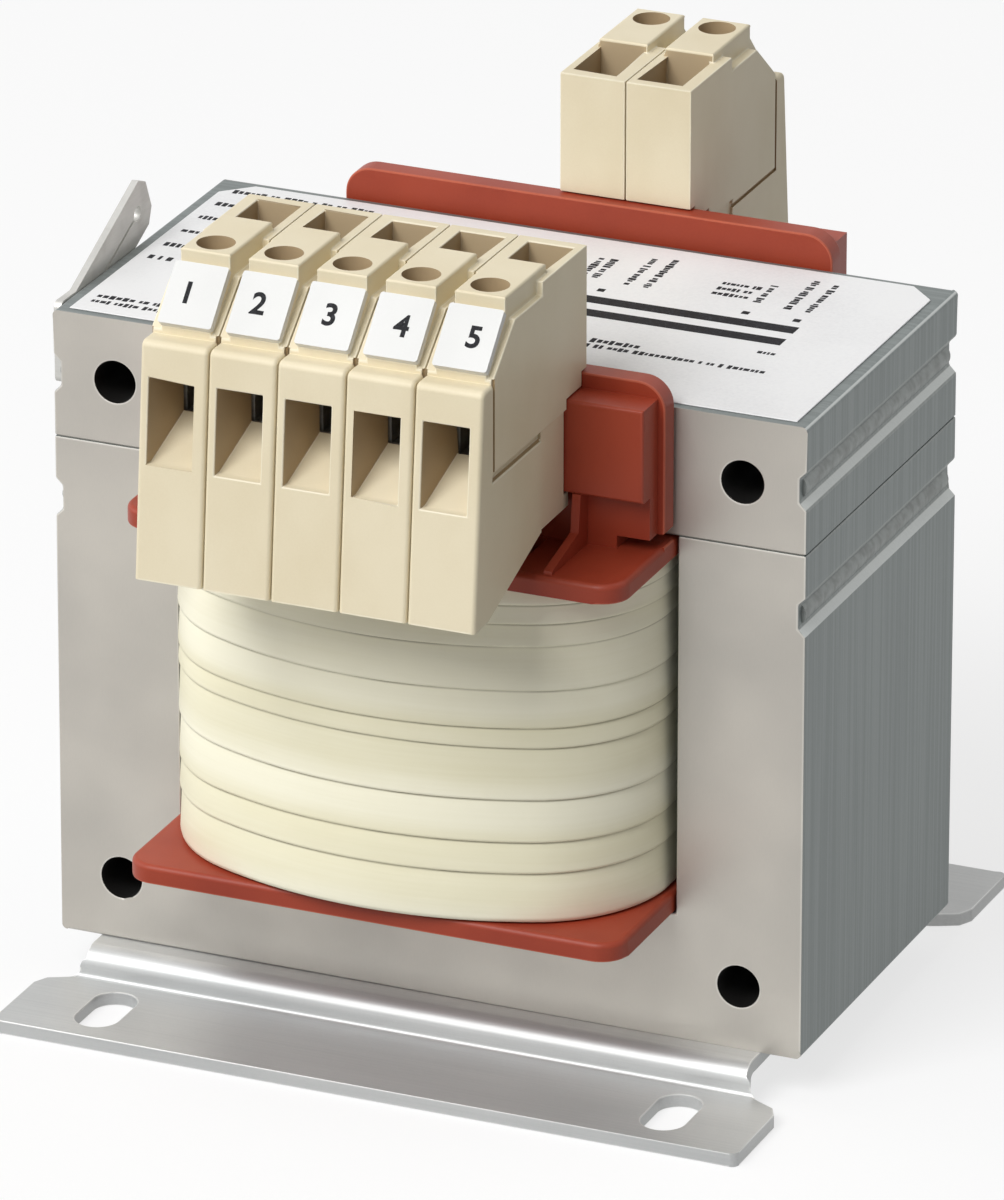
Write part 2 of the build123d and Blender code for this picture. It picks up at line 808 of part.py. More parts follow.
def earth_tag():
    """Pad on the core's side and a folded tongue that rises along the top edge."""
    side = Plane(origin=(-core_width / 2, -half_depth, 0), x_dir=(0, 1, 0), z_dir=(-1, 0, 0))
    flat = Plane(origin=(-core_width / 2, -half_depth, 0), x_dir=(0, 1, 0), z_dir=(1, 0, 0))
    pad_middle = earth_pad_start + earth_pad_length / 2
    pad_height = core_top - earth_pad_height / 2
    pad = Pos(pad_middle, pad_height) * RectangleRounded(
        earth_pad_length, earth_pad_height, earth_corner_radius
    )
    turn = Pos(pad_middle, core_top - earth_blade_width / 2) * Rot(0, 0, earth_blade_slope)
    half = earth_blade_width / 2
    cut = earth_blade_tip_cut
    blade_points = [
        (0, -half),
        (earth_blade_length - cut, -half),
        (earth_blade_length, cut - half),
        (earth_blade_length, half - cut),
        (earth_blade_length - cut, half),
        (0, half),
    ]
    blade = make_face(Polyline(*blade_points, close=True))
    hole = Pos(earth_blade_length - earth_hole_inset, 0) * Circle(earth_hole_diameter / 2)
    blank = pad + turn * (blade - hole)
    tag = extrude(flat * blank, amount=-earth_thickness)
    seam_length = earth_blade_length - 2 * earth_hole_inset
    seam_start = Pos(earth_hole_inset, 0)
    seam = turn * seam_start * Rectangle(seam_length, earth_seam_width, align=(Align.MIN, Align.CENTER))
    return tag - extrude(flat * seam, amount=-earth_seam_depth)


# The whole transformer

def fixed_nodes():
    """Pieces that occur once."""
    front_foot = mounting_foot()
    return {
        "e_lamination_stack": e_lamination_stack(),
        "i_lamination_stack": i_lamination_stack(),
        "core_weld_beads": core_weld_beads(),
        "winding_bobbin": winding_bobbin(),
        "primary_winding": coil_layer(0),
        "interwinding_insulation": coil_layer(1),
        "secondary_winding": coil_layer(2),
        "outer_tape_wrap": outer_tape_wrap(),
        "front_mounting_foot": front_foot,
        "rear_mounting_foot": to_back(front_foot),
        "rating_label": rating_label(),
        "earth_tag": earth_tag(),
    }


def terminal_nodes():
    """Five terminals in front and two turned round behind; all the screws share one node."""
    pieces = {
        "terminal_housing": terminal_housing(),
        "clamp_cage": clamp_cage(),
        "current_bar": current_bar(),
    }
    screw = clamp_screw()
    nodes = {}
    screws = []
    rows = [("front", front_places, secondary_lead_reach), ("rear", rear_places, lead_reach)]
    for row, places, start_reach in rows:
        lead = lead_wire(start_reach)
        for number, place in enumerate(places, start=1):
            row_pieces = dict(pieces, lead=lead)
            if row == "front":
                row_pieces["number_tag"] = number_tag()
            for name, shape in row_pieces.items():
                moved = Pos(place * terminal_pitch, 0, 0) * shape
                node = f"{name}_{number}" if name == "number_tag" else f"{row}_{name}_{number}"
                nodes[node] = moved if row == "front" else to_back(moved)
            moved_screw = Pos(place * terminal_pitch, 0, 0) * screw
            screws.append(moved_screw if row == "front" else to_back(moved_screw))
    nodes["clamp_screws"] = Compound(children=screws)
    return nodes


def main():
    os.makedirs("parts", exist_ok=True)
    nodes = fixed_nodes()
    nodes.update(terminal_nodes())
    for node, shape in nodes.items():
        export_step(shape, f"parts/{node}.step")
    print(len(nodes), "nodes")


main()
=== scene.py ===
import logging
import math
import random
from dataclasses import dataclass, field
from enum import Enum
from functools import lru_cache

import bmesh
import bpy
from mathutils import Matrix, Vector
from mathutils.bvhtree import BVHTree


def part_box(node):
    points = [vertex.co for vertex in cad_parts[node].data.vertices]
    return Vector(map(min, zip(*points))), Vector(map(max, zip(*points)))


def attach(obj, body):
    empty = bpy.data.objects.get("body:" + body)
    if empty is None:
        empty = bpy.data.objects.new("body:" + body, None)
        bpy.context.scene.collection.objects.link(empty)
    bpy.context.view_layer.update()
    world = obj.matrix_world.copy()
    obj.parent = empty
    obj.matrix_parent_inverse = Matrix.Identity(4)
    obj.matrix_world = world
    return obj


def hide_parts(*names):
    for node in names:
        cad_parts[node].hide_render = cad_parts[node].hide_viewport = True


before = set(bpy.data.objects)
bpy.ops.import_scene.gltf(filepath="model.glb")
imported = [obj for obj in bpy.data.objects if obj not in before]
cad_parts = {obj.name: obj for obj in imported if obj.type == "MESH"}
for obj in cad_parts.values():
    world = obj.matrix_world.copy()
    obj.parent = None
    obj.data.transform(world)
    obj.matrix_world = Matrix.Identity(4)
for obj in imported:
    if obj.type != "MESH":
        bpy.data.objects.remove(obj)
log = logging.getLogger("control_transformer")

MM = 0.001
BODY = "root"
SAME_POINT = 0.002 * MM
FLAT_ANGLE = math.radians(0.5)
Colour = tuple[float, float, float]
WHITE: Colour = (1.0, 1.0, 1.0)


def screen(red: int, green: int, blue: int) -> Colour:
    """Turn screen values from 0 to 255 into the linear colour that a shader takes.

    Args:
        red: Red on the screen.
        green: Green on the screen.
        blue: Blue on the screen.

    Returns:
        The same colour in linear light.
    """
    shares = (value / 255 for value in (red, green, blue))
    return tuple(s / 12.92 if s < 0.04045 else ((s + 0.055) / 1.055) ** 2.4 for s in shares)


# Shader expressions

# Numbers of a Mix node's colour sockets, whose names its other sockets share
MIX_SHARE, MIX_FIRST, MIX_SECOND = 0, 6, 7
MIX_COLOUR = 2


class Signal:
    """A socket of a shader graph that takes part in Python expressions."""

    def __init__(self, graph: "Graph", socket: bpy.types.NodeSocket) -> None:
        """Keep the socket and the graph that it belongs to."""
        self.graph = graph
        self.socket = socket

    def out(self, name: str) -> "Signal":
        """Another output of the same node."""
        return Signal(self.graph, self.socket.node.outputs[name])

    def math(self, operation: str, *values: "Signal | float") -> "Signal":
        """Add a Math node that takes the values in their order."""
        return self.graph.node("ShaderNodeMath", {"operation": operation}, dict(enumerate(values)))

    def __add__(self, other: "Signal | float") -> "Signal":
        """Sum of two signals."""
        return self.math("ADD", self, other)

    def __radd__(self, other: float) -> "Signal":
        """Sum with a number on the left."""
        return self.math("ADD", other, self)

    def __sub__(self, other: "Signal | float") -> "Signal":
        """Difference of two signals."""
        return self.math("SUBTRACT", self, other)

    def __rsub__(self, other: float) -> "Signal":
        """Difference from a number on the left."""
        return self.math("SUBTRACT", other, self)

    def __mul__(self, other: "Signal | float") -> "Signal":
        """Product of two signals."""
        return self.math("MULTIPLY", self, other)

    def __rmul__(self, other: float) -> "Signal":
        """Product with a number on the left."""
        return self.math("MULTIPLY", other, self)

    def __abs__(self) -> "Signal":
        """Size without its sign."""
        return self.math("ABSOLUTE", self)

    def __or__(self, other: "Signal | float") -> "Signal":
        """The larger of two signals."""
        return self.math("MAXIMUM", self, other)

    def sine(self) -> "Signal":
        """Sine of the signal, in radians."""
        return self.math("SINE", self)

    def root(self) -> "Signal":
        """Square root of the signal."""
        return self.math("SQRT", self)

    def step(self, low: float, high: float) -> "Signal":
        """Smooth step that rises from 0 at low to 1 at high."""
        inputs = {"Value": self, "From Min": low, "From Max": high}
        return self.graph.node("ShaderNodeMapRange", {"interpolation_type": "SMOOTHSTEP"}, inputs)


class Graph:
    """The node graph of one material or of the world."""

    def __init__(self, tree: bpy.types.NodeTree) -> None:
        """Start from an empty tree."""
        self.tree = tree
        self.tree.nodes.clear()

    def node(
        self,
        kind: str,
        settings: dict[str, object] | None = None,
        inputs: dict[str | int, object] | None = None,
        output: int | str = 0,
    ) -> Signal:
        """Add a node.

        Args:
            kind: Blender's name of the node type.
            settings: Properties of the node, set before its sockets.
            inputs: Values or signals by socket name or number.
            output: The output that the signal stands for.

        Returns:
            The signal of that output.
        """
        made = self.tree.nodes.new(kind)
        for name, value in (settings or {}).items():
            setattr(made, name, value)
        for key, value in (inputs or {}).items():
            socket = made.inputs[key]
            if isinstance(value, Signal):
                self.tree.links.new(value.socket, socket)
            elif socket.type == "RGBA":
                socket.default_value = (*value[:3], 1.0)
            else:
                socket.default_value = value
        if not made.outputs:
            return Signal(self, made.inputs[0])
        return Signal(self, made.outputs[output])

    def coordinates(self, output: str = "Object") -> Signal:
        """The piece's own coordinates, or its normal with output set to Normal."""
        return self.node("ShaderNodeTexCoord", output=output)

    def axes(self, vector: Signal) -> tuple[Signal, Signal, Signal]:
        """Split a vector into its three parts."""
        split = self.node("ShaderNodeSeparateXYZ", inputs={0: vector})
        return split.out("X"), split.out("Y"), split.out("Z")

    def stretched(self, scale: tuple[float, float, float]) -> Signal:
        """The piece's coordinates, scaled to cells per millimetre along X, Y and Z."""
        inputs = {"Vector": self.coordinates(), "Scale": tuple(value / MM for value in scale)}
        return self.node("ShaderNodeMapping", inputs=inputs)

    def noise(self, scale: tuple[float, float, float], detail: float = 2.0) -> Signal:
        """Cloudy noise from 0 to 1, with a number of cells per millimetre along each axis."""
        inputs = {"Vector": self.stretched(scale), "Scale": 1.0, "Detail": detail}
        return self.node("ShaderNodeTexNoise", inputs=inputs)

    def blend(
        self, share: "Signal | float", first: "Signal | Colour", second: "Signal | Colour"
    ) -> Signal:
        """Mix two colours by a share from 0 to 1."""
        inputs = {MIX_SHARE: share, MIX_FIRST: first, MIX_SECOND: second}
        return self.node("ShaderNodeMix", {"data_type": "RGBA"}, inputs, output=MIX_COLOUR)

    def attribute(self, name: str) -> Signal:
        """A number that the mesh carries at its points or faces."""
        return self.node("ShaderNodeAttribute", {"attribute_name": name}, output="Fac")

    def relief(self, height: Signal, depth_mm: float, strength: float = 1.0) -> Signal:
        """A bumped normal, with the height's full range as a depth in millimetres."""
        inputs = {"Height": height, "Distance": depth_mm * MM, "Strength": strength}
        return self.node("ShaderNodeBump", inputs=inputs, output="Normal")

    def surface(self, **inputs: "Signal | float | Colour") -> None:
        """End the graph in a Principled shader.

        Args:
            **inputs: What each socket gets; an underscore in a name stands for a space.
        """
        named = {name.replace("_", " "): value for name, value in inputs.items()}
        shader = self.node("ShaderNodeBsdfPrincipled", inputs=named)
        self.node("ShaderNodeOutputMaterial", inputs={"Surface": shader})


# Finishes

EDGE_MARK = "rounded_edge"
TURN_TONE = "turn_tone"
LIP_SHADE = "lip_shade"
# Marks faces inside cavities for painted shade
CAVITY_SHADE_MARK = "cavity_shade"


@dataclass(frozen=True)
class Finish:
    """A finish that can dress any piece."""

    name: str

    def paint(self, graph: Graph) -> None:
        """Build the graph of this finish."""
        raise NotImplementedError


@dataclass(frozen=True)
class LaminationSteel(Finish):
    """Electrical sheet: pale warm faces, and darker cut edges with fine lamination lines."""

    sheet: Colour = screen(198, 193, 184)
    sheet_dark: Colour = screen(176, 172, 165)
    cut_edge: Colour = screen(132, 138, 137)
    cut_edge_dark: Colour = screen(116, 122, 121)
    # Partly wearing, partly painted highlight: the lighter colour of rounded edges
    worn_edge_highlight: Colour = screen(226, 224, 217)
    # Painted highlight: the colour of cut faces that lean upwards, such as each groove's lower
    # chamfer
    chamfer_highlight: Colour = screen(190, 193, 191)
    # Painted shade: the colour of the bolt holes' walls
    bore_shade: Colour = screen(20, 19, 18)
    laminations_per_mm: float = 2.0
    bore_offset: float = 35.0 * MM
    bore_heights: tuple[float, float] = (11.7 * MM, 67.7 * MM)
    bore_radius: float = 2.36 * MM
    bore_rim: float = 0.04 * MM

    def inside_bores(self, graph: Graph) -> Signal:
        """Find the walls of the bolt holes, which run front to back.

        Args:
            graph: The graph of the material.

        Returns:
            1 on those walls and 0 elsewhere.
        """
        across, _, up = graph.axes(graph.coordinates())
        aside = abs(across) - self.bore_offset
        inside = 0.0
        for height in self.bore_heights:
            above = up - height
            distance = (aside * aside + above * above).root()
            outside = distance.step(self.bore_radius, self.bore_radius + self.bore_rim)
            inside = (1.0 - outside) | inside
        return inside

    def paint(self, graph: Graph) -> None:
        """Faces by the normal's Y, cut edges streaked across the stack, and painted shade in the
        bolt holes.

        Args:
            graph: The empty graph of the material.
        """
        _, along, rising = graph.axes(graph.coordinates("Normal"))
        face = abs(along).step(0.55, 0.8)
        # Painted highlight: cut faces that lean upwards are lightened as if they caught the light
        chamfer_highlight = rising.step(0.45, 0.65) * (1.0 - rising.step(0.8, 0.9)) * (1.0 - face)
        cloud = graph.noise((0.05, 0.05, 0.05), 3.0)
        grain = graph.noise((6.0, 6.0, 1.2), 2.0)
        layers = graph.noise((0.02, self.laminations_per_mm, 0.02), 1.0)
        sheet = graph.blend(cloud.step(0.3, 0.75) * 0.7 + grain * 0.3, self.sheet_dark, self.sheet)
        streak = layers.step(0.35, 0.65) * 0.6 + grain * 0.4
        cut = graph.blend(streak, self.cut_edge_dark, self.cut_edge)
        cut = graph.blend(chamfer_highlight * (0.7 + 0.3 * grain), cut, self.chamfer_highlight)
        # Rounded edges lightened, partly as wearing and partly as painted highlight
        wear_and_highlight = graph.attribute(EDGE_MARK) * (0.1 + 0.5 * face * cloud)
        colour = graph.blend(wear_and_highlight, graph.blend(face, cut, sheet), self.worn_edge_highlight)
        # Painted shade: the bolt holes' walls are darkened, and not metallic, as if no light reached
        # them
        shaded_bore = self.inside_bores(graph) * (1.0 - face)
        colour = graph.blend(shaded_bore, colour, self.bore_shade)
        height = layers * (1.0 - face) + grain * 0.25
        graph.surface(
            Base_Color=colour,
            Metallic=(0.55 + 0.2 * cloud) * (1.0 - shaded_bore),
            Roughness=0.42 + 0.16 * grain - 0.08 * face,
            Normal=graph.relief(height, 0.03, 0.5),
        )


@dataclass(frozen=True)
class RolledSheet(Finish):
    """Zinc-plated strip: bright, drawn along X, with a faint spangle."""

    bright: Colour = screen(196, 197, 196)
    dull: Colour = screen(176, 178, 178)
    # Partly wearing, partly painted highlight: the lighter colour of rounded edges
    worn_edge_highlight: Colour = screen(230, 230, 228)

    def paint(self, graph: Graph) -> None:
        """Fine rolling streaks along X over slow clouds, with edges lightened partly as wearing and
        partly as painted highlight.

        Args:
            graph: The empty graph of the material.
        """
        streaks = graph.noise((0.03, 5.0, 5.0), 2.0)
        cloud = graph.noise((0.03, 0.09, 0.09), 2.0)
        grain = graph.noise((3.0, 3.0, 3.0), 2.0)
        tone = streaks * 0.3 + cloud * 0.6 + grain * 0.1
        colour = graph.blend(tone.step(0.25, 0.75), self.dull, self.bright)
        # Rounded edges lightened, partly as wearing and partly as painted highlight
        colour = graph.blend(graph.attribute(EDGE_MARK) * 0.5, colour, self.worn_edge_highlight)
        graph.surface(
            Base_Color=colour,
            Metallic=0.5,
            Roughness=0.38 + 0.06 * streaks + 0.06 * cloud,
            Normal=graph.relief(streaks * 0.6 + grain * 0.4, 0.006, 0.3),
        )


@dataclass(frozen=True)
class MouldedPlastic(Finish):
    """Injection-moulded plastic with a fine eroded mould texture and paler edges, partly rubbing and
    partly painted highlight.
    """

    body: Colour
    shade: Colour
    # Partly rubbing, partly painted highlight: the paler colour of rounded edges
    rubbed_edge_highlight: Colour
    roughness: float = 0.42
    edge_share: float = 0.5
    texture_depth: float = 0.012
    # Painted shade: the colour that faces inside cavities are darkened towards
    cavity_shade: Colour = screen(90, 60, 40)

    def paint(self, graph: Graph) -> None:
        """Slow tone drift, fine speckle, paler edges, painted shade in cavities, and mould texture.

        Args:
            graph: The empty graph of the material.
        """
        drift = graph.noise((0.09, 0.09, 0.06), 3.0)
        speckle = graph.noise((5.0, 5.0, 5.0), 2.0)
        flow = graph.noise((0.25, 0.25, 0.08), 1.0)
        tone = drift * 0.75 + flow * 0.1 + speckle * 0.15
        colour = graph.blend(tone.step(0.25, 0.7), self.shade, self.body)
        # Rounded edges paled, partly as rubbing and partly as painted highlight
        rub_and_highlight = graph.attribute(EDGE_MARK) * (self.edge_share * (0.7 + 0.6 * drift))
        colour = graph.blend(rub_and_highlight, colour, self.rubbed_edge_highlight)
        # Painted shade: faces inside cavities darkened as if little light reached them
        colour = graph.blend(graph.attribute(CAVITY_SHADE_MARK) * (0.7 + 0.3 * drift), colour, self.cavity_shade)
        graph.surface(
            Base_Color=colour,
            Specular_IOR_Level=0.32,
            Roughness=self.roughness + 0.12 * speckle - 0.06 * drift,
            Normal=graph.relief(speckle, self.texture_depth, 0.5),
        )


@dataclass(frozen=True)
class CoilTape(Finish):
    """Polyester coil tape: cream, faintly glossy, each turn a little different."""

    pale: Colour = screen(247, 243, 220)
    warm: Colour = screen(231, 225, 193)
    # Partly adhesive, partly painted shadow: the colour of the line under each tape edge
    glue_and_shadow_line: Colour = screen(146, 136, 108)

    def paint(self, graph: Graph) -> None:
        """Tone of each turn, streaks along the turn, and a darker line under each edge, partly
        adhesive and partly painted shadow.

        Args:
            graph: The empty graph of the material.
        """
        streaks = graph.noise((0.05, 0.05, 2.6), 2.0)
        cloud = graph.noise((0.08, 0.08, 0.2), 2.0)
        crepe = graph.noise((1.6, 1.6, 5.0), 2.0)
        tone = graph.attribute(TURN_TONE) * 0.5 + cloud * 0.3 + streaks * 0.2
        colour = graph.blend(tone.step(0.15, 0.85), self.warm, self.pale)
        # Under each tape edge: partly adhesive, partly painted shadow of the edge above
        glue_and_shadow = graph.attribute(LIP_SHADE) * (0.35 + 0.65 * cloud.step(0.35, 0.65))
        colour = graph.blend(glue_and_shadow, colour, self.glue_and_shadow_line)
        graph.surface(
            Base_Color=colour,
            Roughness=0.4 + 0.14 * crepe,
            Normal=graph.relief(streaks * 0.7 + crepe * 0.3, 0.035, 0.5),
            Coat_Weight=0.12 + 0.1 * cloud,
            Coat_Roughness=0.3,
        )


@dataclass(frozen=True)
class LabelSheet(Finish):
    """White label film with a faint fibre and a slightly greyed rim."""

    white: Colour = screen(236, 236, 236)
    grey: Colour = screen(222, 222, 223)
    roughness: float = 0.36

    def paint(self, graph: Graph) -> None:
        """Fibre and slow clouds, greyer at the edges.

        Args:
            graph: The empty graph of the material.
        """
        fibre = graph.noise((3.0, 3.0, 3.0), 3.0)
        cloud = graph.noise((0.05, 0.05, 0.05), 2.0)
        tone = fibre * 0.35 + cloud * 0.65
        colour = graph.blend(tone.step(0.2, 0.6), self.grey, self.white)
        colour = graph.blend(graph.attribute(EDGE_MARK) * 0.5, colour, self.grey)
        graph.surface(
            Base_Color=colour,
            Roughness=self.roughness + 0.12 * cloud,
            Normal=graph.relief(fibre, 0.006, 0.4),
        )


@dataclass(frozen=True)
class PrintInk(Finish):
    """Thermal-transfer ink, dense black with slightly starved spots."""

    dense: Colour = screen(24, 24, 27)
    thin: Colour = screen(52, 52, 57)

    def paint(self, graph: Graph) -> None:
        """Ink density over fine noise.

        Args:
            graph: The empty graph of the material.
        """
        starve = graph.noise((4.0, 4.0, 4.0), 3.0)
        colour = graph.blend(starve.step(0.45, 0.75), self.dense, self.thin)
        graph.surface(
            Base_Color=colour,
            Specular_IOR_Level=0.15,
            Roughness=0.55 + 0.15 * starve,
            Normal=graph.relief(starve, 0.004, 0.4),
        )


@dataclass(frozen=True)
class PlatedMetal(Finish):
    """Plated or bare metal part with fine drawing marks and dull patches."""

    bright: Colour
    dull: Colour
    roughness: float = 0.3
    patches: float = 0.5

    def paint(self, graph: Graph) -> None:
        """Drawing marks, dull patches, and bright edges, partly from wearing and partly painted
        highlight.

        Args:
            graph: The empty graph of the material.
        """
        marks = graph.noise((0.4, 0.4, 6.0), 2.0)
        patch = graph.noise((0.35, 0.35, 0.35), 2.0)
        dullness = patch.step(0.42, 0.66) * self.patches + marks * 0.3
        colour = graph.blend(dullness, self.bright, self.dull)
        # Rounded edges brightened, partly as wearing and partly as painted highlight
        colour = graph.blend(graph.attribute(EDGE_MARK) * 0.5, colour, self.bright)
        graph.surface(
            Base_Color=colour,
            Metallic=0.95 - 0.15 * patch,
            Roughness=self.roughness + 0.2 * patch + 0.08 * marks,
            Normal=graph.relief(marks + patch, 0.01, 0.4),
        )


@dataclass(frozen=True)
class WeldBead(Finish):
    """Weld metal with ripples across the seam and a heat tint."""

    metal: Colour = screen(140, 144, 142)
    tint: Colour = screen(126, 129, 127)
    ripples_per_mm: float = 1.1

    def paint(self, graph: Graph) -> None:
        """Ripples along Y, tinted in patches.

        Args:
            graph: The empty graph of the material.
        """
        _, along, _ = graph.axes(graph.coordinates())
        sway = graph.noise((0.8, 0.8, 0.8), 2.0)
        wave = (along * (2 * math.pi * self.ripples_per_mm / MM) + sway * 2.0).sine()
        ripple = wave * 0.5 + 0.5
        colour = graph.blend(sway.step(0.35, 0.7), self.metal, self.tint)
        graph.surface(
            Base_Color=colour,
            Metallic=0.6 + 0.1 * sway,
            Roughness=0.45 + 0.1 * sway,
            Normal=graph.relief(ripple, 0.02, 0.4),
        )


@dataclass(frozen=True)
class WoundWire(Finish):
    """Enamelled wire laid in turns, one above the other."""

    enamel: Colour = screen(176, 92, 48)
    # Painted shade: the colour between the turns
    groove_shade: Colour = screen(92, 42, 24)
    turns_per_mm: float = 1.5

    def paint(self, graph: Graph) -> None:
        """Turns as waves along Z, with painted shade between them.

        Args:
            graph: The empty graph of the material.
        """
        _, _, up = graph.axes(graph.coordinates())
        sway = graph.noise((0.2, 0.2, 0.6), 2.0)
        wave = (up * (2 * math.pi * self.turns_per_mm / MM) + sway * 2.0).sine()
        crest = wave * 0.5 + 0.5
        # Painted shade: the grooves between turns darkened as if less light reached them
        colour = graph.blend(crest.step(0.1, 0.6), self.groove_shade, self.enamel)
        graph.surface(
            Base_Color=colour,
            Metallic=0.6 + 0.2 * crest,
            Roughness=0.3 + 0.15 * sway,
            Coat_Weight=0.3 + 0.2 * sway,
            Normal=graph.relief(crest, 0.15, 0.8),
        )


class Stock(Enum):
    """The finishes that this transformer is made of."""

    LAMINATION = LaminationSteel("lamination_steel")
    FOOT = RolledSheet("foot_strip")
    WELD = WeldBead("weld_bead")
    TERMINAL = MouldedPlastic(
        "terminal_ivory",
        screen(228, 217, 189),
        screen(219, 206, 175),
        screen(240, 233, 212),
        cavity_shade=screen(154, 124, 84),
    )
    BOBBIN = MouldedPlastic(
        "bobbin_brick_red",
        screen(158, 64, 41),
        screen(140, 52, 34),
        screen(200, 108, 82),
        roughness=0.4,
    )
    TAG = MouldedPlastic(
        "tag_white",
        screen(222, 222, 220),
        screen(215, 215, 213),
        screen(228, 228, 227),
        edge_share=0.3,
        texture_depth=0.004,
    )
    TAPE = CoilTape("coil_tape")
    FILM = CoilTape(
        "insulation_film", screen(214, 206, 170), screen(196, 186, 146), screen(150, 140, 110)
    )
    LABEL = LabelSheet("label_film")
    INK = PrintInk("print_ink")
    WIRE = WoundWire("enamelled_wire")
    BRASS = PlatedMetal("bar_brass", screen(206, 178, 118), screen(150, 122, 76), 0.26)
    CLAMP = PlatedMetal("clamp_zinc", screen(176, 174, 168), screen(112, 108, 100), 0.34)
    SCREW = PlatedMetal("screw_zinc", screen(188, 184, 172), screen(112, 104, 92), 0.3)
    TAG_METAL = PlatedMetal(
        "earth_tag_tin", screen(204, 203, 199), screen(172, 170, 166), roughness=0.38, patches=0.25
    )


@lru_cache(maxsize=None)
def material_of(stock: Stock) -> bpy.types.Material:
    """Build a finish's material once.

    Args:
        stock: The finish.

    Returns:
        Its material.
    """
    finish = stock.value
    material = bpy.data.materials.new(finish.name)
    material.use_nodes = True
    finish.paint(Graph(material.node_tree))
    return material


def dress(piece: bpy.types.Object, stock: Stock) -> None:
    """Give every slot of a piece the same finish.

    Args:
        piece: A CAD node or a new piece.
        stock: Its finish.
    """
    material = material_of(stock)
    if not piece.material_slots:
        piece.data.materials.append(material)
    for place in piece.material_slots:
        place.material = material


# Mesh work shared by the sub-assemblies

def merged_mesh(node: str) -> bmesh.types.BMesh:
    """Copy a CAD node's mesh, with its loose triangles joined into plain faces.

    Args:
        node: The CAD node's name.

    Returns:
        A new bmesh. The node's own mesh stays as it is.
    """
    mesh = bmesh.new()
    mesh.from_mesh(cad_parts[node].data)
    bmesh.ops.remove_doubles(mesh, verts=mesh.verts, dist=SAME_POINT)
    bmesh.ops.dissolve_limit(mesh, angle_limit=FLAT_ANGLE, verts=mesh.verts, edges=mesh.edges)
    return mesh


def finished_piece(
    name: str,
    mesh: bmesh.types.BMesh,
    stock: Stock,
    replaced: tuple[str, ...] = (),
) -> bpy.types.Object:
    """Write a bmesh to an object that rides on the transformer.

    Args:
        name: The piece's name.
        mesh: The finished bmesh, which is freed.
        stock: The piece's finish.
        replaced: CAD nodes that the piece stands for.

    Returns:
        The new object.
    """
    data = bpy.data.meshes.new(name)
    mesh.to_mesh(data)
    mesh.free()
    piece = bpy.data.objects.new(name, data)
    bpy.context.scene.collection.objects.link(piece)
    dress(piece, stock)
    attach(piece, BODY)
    if replaced:
        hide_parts(*replaced)
    log.info("%s: %d faces, %s", name, len(data.polygons), stock.value.name)
    return piece


